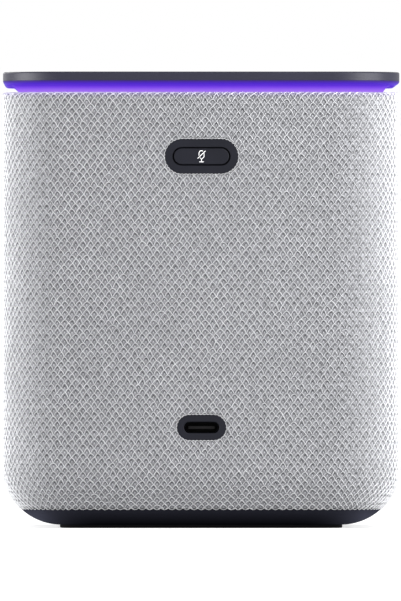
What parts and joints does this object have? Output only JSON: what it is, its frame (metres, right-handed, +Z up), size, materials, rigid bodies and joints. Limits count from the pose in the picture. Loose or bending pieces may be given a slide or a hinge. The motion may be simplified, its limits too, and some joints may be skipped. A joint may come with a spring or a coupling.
{
  "type": "smart display",
  "caption": "Fabric-covered block-shaped smart display with a lit ring under its top plate, a rear mute button and a rear power socket.",
  "frame": {"origin": "middle of the underside of the rubber foot, where the object rests", "axes": "+Z up; the screen faces -Y, and the mute button and power socket face +Y"},
  "size_m": [0.102, 0.102, 0.117],
  "materials": {
    "knit_fabric": "matte knit",
    "shell_plastic": "satin",
    "base_plastic": "satin",
    "housing_plastic": "matte",
    "lamp_acrylic": "frosted, lit",
    "foot_rubber": "matte",
    "cover_glass": "polished",
    "screen_panel": "polished",
    "frame_steel": "brushed",
    "screw_steel": "brushed",
    "socket_steel": "satin",
    "circuit_board": "semi-gloss",
    "chip_plastic": "matte",
    "connector_plastic": "satin",
    "tongue_plastic": "satin",
    "heat_sink_aluminium": "satin",
    "brass": "satin",
    "gasket_rubber": "matte",
    "grille_metal": "matte",
    "magnet_ferrite": "matte",
    "cone_paper": "matte",
    "spider_cloth": "matte",
    "coil_copper": "satin",
    "lead_jacket": "matte",
    "ribbon_film": "satin"
  },
  "bodies": {
    "case": {"rubber_foot": "foot_rubber", "base_cover": "base_plastic", "fabric_sleeve": "knit_fabric", "housing": "housing_plastic", "deck_gasket": "gasket_rubber", "top_deck": "housing_plastic", "light_guide": "lamp_acrylic", "lamp_board": "circuit_board", "lamps": "connector_plastic", "top_plate": "shell_plastic", "mic_board": "circuit_board", "microphones": "socket_steel", "mic_gaskets": "gasket_rubber", "display_bezel": "shell_plastic", "cover_glass": "cover_glass", "lcd_panel": "screen_panel", "backlight_unit": "frame_steel", "display_frame": "frame_steel", "board_standoffs": "brass", "main_board": "circuit_board", "shield_can": "frame_steel", "processor_chips": "chip_plastic", "heat_sink": "heat_sink_aluminium", "board_connectors": "connector_plastic", "wifi_antennas": "ribbon_film", "mute_bezel": "shell_plastic", "switch_body": "chip_plastic", "button_board": "circuit_board", "port_bezel": "shell_plastic", "socket_shell": "socket_steel", "socket_tongue": "tongue_plastic", "socket_board": "circuit_board", "rear_grille": "grille_metal", "side_grilles": "grille_metal", "driver_gasket": "gasket_rubber", "driver_basket": "frame_steel", "driver_washer": "frame_steel", "driver_magnet": "magnet_ferrite", "driver_yoke": "frame_steel", "driver_surround": "gasket_rubber", "driver_spider": "spider_cloth", "radiator_frames": "housing_plastic", "left_radiator_surround": "gasket_rubber", "right_radiator_surround": "gasket_rubber", "case_screws": "screw_steel", "small_screws": "screw_steel", "speaker_lead": "lead_jacket", "power_lead": "lead_jacket", "lamp_lead": "lead_jacket", "button_lead": "lead_jacket", "mic_lead": "lead_jacket", "display_ribbon": "ribbon_film"},
    "mute_key": {"mute_button": "shell_plastic"},
    "mute_plunger": {"switch_plunger": "connector_plastic"},
    "woofer_cone": {"driver_cone": "cone_paper", "dust_cap": "cone_paper", "voice_coil": "coil_copper"},
    "left_radiator": {"left_radiator_plate": "frame_steel"},
    "right_radiator": {"right_radiator_plate": "frame_steel"}
  },
  "joints": [
    {"name": "mute_press", "type": "slide", "parent": "case", "child": "mute_key", "axis": [0, -1, 0], "range_m": [0, 0.0005], "stiffness_N_per_m": 800, "springref_m": -0.0005},
    {"name": "plunger_press", "type": "slide", "parent": "case", "child": "mute_plunger", "axis": [0, -1, 0], "range_m": [0, 0.0005]},
    {"name": "cone_travel", "type": "slide", "parent": "case", "child": "woofer_cone", "axis": [0, 1, 0], "range_m": [-0.001, 0.001], "stiffness_N_per_m": 1200, "deforming": ["driver_surround", "driver_spider"]},
    {"name": "left_radiator_travel", "type": "slide", "parent": "case", "child": "left_radiator", "axis": [-1, 0, 0], "range_m": [-0.003, 0.003], "stiffness_N_per_m": 700, "deforming": ["left_radiator_surround"]},
    {"name": "right_radiator_travel", "type": "slide", "parent": "case", "child": "right_radiator", "axis": [1, 0, 0], "range_m": [-0.003, 0.003], "stiffness_N_per_m": 700, "deforming": ["right_radiator_surround"]}
  ],
  "couplings": [
    {"joint": "plunger_press", "follows": "mute_press", "ratio": 1}
  ]
}
